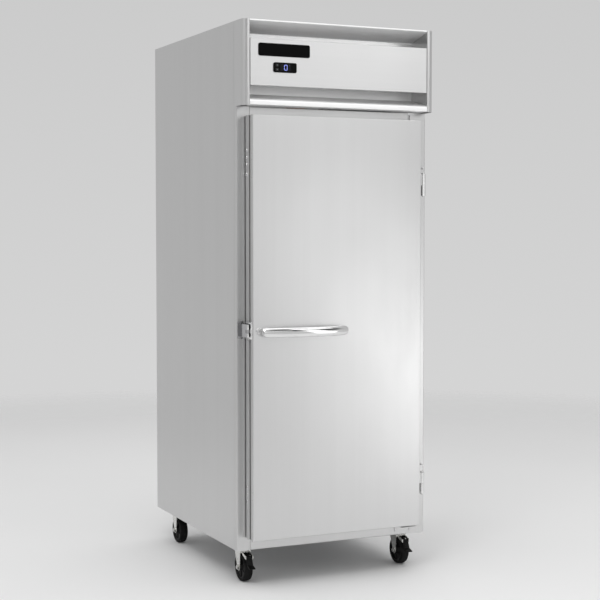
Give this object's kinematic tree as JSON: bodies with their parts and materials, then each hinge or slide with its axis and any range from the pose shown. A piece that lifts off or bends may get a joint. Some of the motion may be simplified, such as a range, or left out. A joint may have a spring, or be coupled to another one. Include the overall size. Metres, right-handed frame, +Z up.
{
  "type": "reach-in refrigerator",
  "caption": "Upright commercial refrigerator: insulated cabinet with wire shelves, hinged door with bar handle and key lock, cooling unit behind a header on top, swivel casters.",
  "frame": {"origin": "on the floor, under the middle of the object's bounding box", "axes": "+Z up, -Y towards the person who opens the door, +X towards the hinges"},
  "size_m": [0.746, 0.974, 1.965],
  "materials": {
    "stainless": "fine brushed stainless sheet",
    "door_stainless": "fine brushed stainless sheet, grain upright",
    "galvanized": "plain zinc-coated sheet",
    "liner": "satin",
    "foam": "matt foam, closed cells",
    "grey_plastic": "matt moulded",
    "gasket_rubber": "soft vinyl",
    "chrome": "polished",
    "zinc": "bright zinc plate",
    "screw_steel": "bright",
    "shelf_coating": "smooth epoxy coat",
    "clip_steel": "stamped, bright",
    "black_paint": "satin enamel",
    "coil_aluminium": "bare fins",
    "fan_aluminium": "bare sheet",
    "copper": "drawn tube",
    "nameplate_black": "gloss, blank",
    "controller_black": "semi-gloss",
    "display_window": "dark window",
    "key_grey": "soft touch",
    "wheel_rubber": "solid tread",
    "pedal_black": "matt"
  },
  "bodies": {
    "cabinet": {"left_side_panel": "stainless", "right_side_panel": "stainless", "back_panel": "galvanized", "bottom_pan": "galvanized", "machine_deck": "galvanized", "face_frame": "stainless", "foam_insulation": "foam", "inner_liner": "liner", "breaker_strip": "grey_plastic", "shelf_pilasters": "clip_steel", "shelf_clips": "clip_steel", "shelf_bottom": "shelf_coating", "shelf_middle": "shelf_coating", "shelf_top": "shelf_coating", "evaporator_cover": "liner", "evaporator_coil": "coil_aluminium", "compressor": "black_paint", "condenser_coil": "coil_aluminium", "condenser_shroud": "black_paint", "refrigerant_tubes": "copper", "electrical_box": "galvanized", "rear_grille": "galvanized", "header_side_frames": "stainless", "header_hood": "stainless", "header_sill": "stainless", "header_front_panel": "stainless", "panel_brackets": "galvanized", "nameplate": "nameplate_black", "controller_bezel": "controller_black", "controller_display": "display_window", "latch_strike": "chrome", "hinge_frame_leaves": "chrome", "hinge_pins": "screw_steel", "door_stop": "stainless", "caster_plates": "zinc"},
    "door": {"door_outer_pan": "door_stainless", "door_thermal_break": "grey_plastic", "door_inner_pan": "liner", "door_foam": "foam", "door_gasket": "gasket_rubber", "door_handle": "chrome", "latch_housing": "chrome", "door_edge_screws": "screw_steel", "hinge_door_leaves": "chrome"},
    "lock": {"lock_cylinder": "chrome"},
    "bolt": {"lock_bolt": "screw_steel"},
    "cold_fan": {"evaporator_fan": "fan_aluminium"},
    "hot_fan": {"condenser_fan": "fan_aluminium"},
    "key_up": {"controller_key_up": "key_grey"},
    "key_down": {"controller_key_down": "key_grey"},
    "swivel_front_left": {"caster_fork_front_left": "zinc"},
    "wheel_front_left": {"caster_wheel_front_left": "wheel_rubber"},
    "pedal_front_left": {"brake_pedal_front_left": "pedal_black"},
    "swivel_front_right": {"caster_fork_front_right": "zinc"},
    "wheel_front_right": {"caster_wheel_front_right": "wheel_rubber"},
    "pedal_front_right": {"brake_pedal_front_right": "pedal_black"},
    "swivel_rear_left": {"caster_fork_rear_left": "zinc"},
    "wheel_rear_left": {"caster_wheel_rear_left": "wheel_rubber"},
    "swivel_rear_right": {"caster_fork_rear_right": "zinc"},
    "wheel_rear_right": {"caster_wheel_rear_right": "wheel_rubber"}
  },
  "joints": [
    {"name": "door_hinge", "type": "hinge", "parent": "cabinet", "child": "door", "pos_m": [0.346, -0.406, 0.865], "axis": [0, 0, 1], "range_deg": [0, 120]},
    {"name": "lock_turn", "type": "hinge", "parent": "door", "child": "lock", "pos_m": [-0.32, -0.442, 0.901], "axis": [0, -1, 0], "range_deg": [0, 90]},
    {"name": "bolt_slide", "type": "slide", "parent": "door", "child": "bolt", "axis": [-1, 0, 0], "range_m": [0, 0.012]},
    {"name": "cold_fan_spin", "type": "hinge", "parent": "cabinet", "child": "cold_fan", "pos_m": [-0.012, 0.047, 1.53], "axis": [0, 1, 0], "continuous": true},
    {"name": "hot_fan_spin", "type": "hinge", "parent": "cabinet", "child": "hot_fan", "pos_m": [0.17, -0.178, 1.793], "axis": [0, 1, 0], "continuous": true},
    {"name": "key_up_press", "type": "slide", "parent": "cabinet", "child": "key_up", "axis": [0, 1, 0], "range_m": [0, 0.0006], "stiffness_N_per_m": 400},
    {"name": "key_down_press", "type": "slide", "parent": "cabinet", "child": "key_down", "axis": [0, 1, 0], "range_m": [0, 0.0006], "stiffness_N_per_m": 400},
    {"name": "swivel_front_left_turn", "type": "hinge", "parent": "cabinet", "child": "swivel_front_left", "pos_m": [-0.315, -0.276, 0.119], "axis": [0, 0, 1], "continuous": true},
    {"name": "wheel_front_left_roll", "type": "hinge", "parent": "swivel_front_left", "child": "wheel_front_left", "pos_m": [-0.315, -0.291, 0.0505], "axis": [1, 0, 0], "continuous": true},
    {"name": "pedal_front_left_press", "type": "hinge", "parent": "swivel_front_left", "child": "pedal_front_left", "pos_m": [-0.315, -0.338, 0.093], "axis": [1, 0, 0], "range_deg": [0, 10]},
    {"name": "swivel_front_right_turn", "type": "hinge", "parent": "cabinet", "child": "swivel_front_right", "pos_m": [0.315, -0.276, 0.119], "axis": [0, 0, 1], "continuous": true},
    {"name": "wheel_front_right_roll", "type": "hinge", "parent": "swivel_front_right", "child": "wheel_front_right", "pos_m": [0.315, -0.291, 0.0505], "axis": [1, 0, 0], "continuous": true},
    {"name": "pedal_front_right_press", "type": "hinge", "parent": "swivel_front_right", "child": "pedal_front_right", "pos_m": [0.315, -0.338, 0.093], "axis": [1, 0, 0], "range_deg": [0, 10]},
    {"name": "swivel_rear_left_turn", "type": "hinge", "parent": "cabinet", "child": "swivel_rear_left", "pos_m": [-0.315, 0.392, 0.119], "axis": [0, 0, 1], "continuous": true},
    {"name": "wheel_rear_left_roll", "type": "hinge", "parent": "swivel_rear_left", "child": "wheel_rear_left", "pos_m": [-0.315, 0.377, 0.0505], "axis": [1, 0, 0], "continuous": true},
    {"name": "swivel_rear_right_turn", "type": "hinge", "parent": "cabinet", "child": "swivel_rear_right", "pos_m": [0.315, 0.392, 0.119], "axis": [0, 0, 1], "continuous": true},
    {"name": "wheel_rear_right_roll", "type": "hinge", "parent": "swivel_rear_right", "child": "wheel_rear_right", "pos_m": [0.315, 0.377, 0.0505], "axis": [1, 0, 0], "continuous": true}
  ],
  "couplings": [
    {"joint": "lock_turn", "follows": "bolt_slide", "rad_per_m": 130.89}
  ]
}
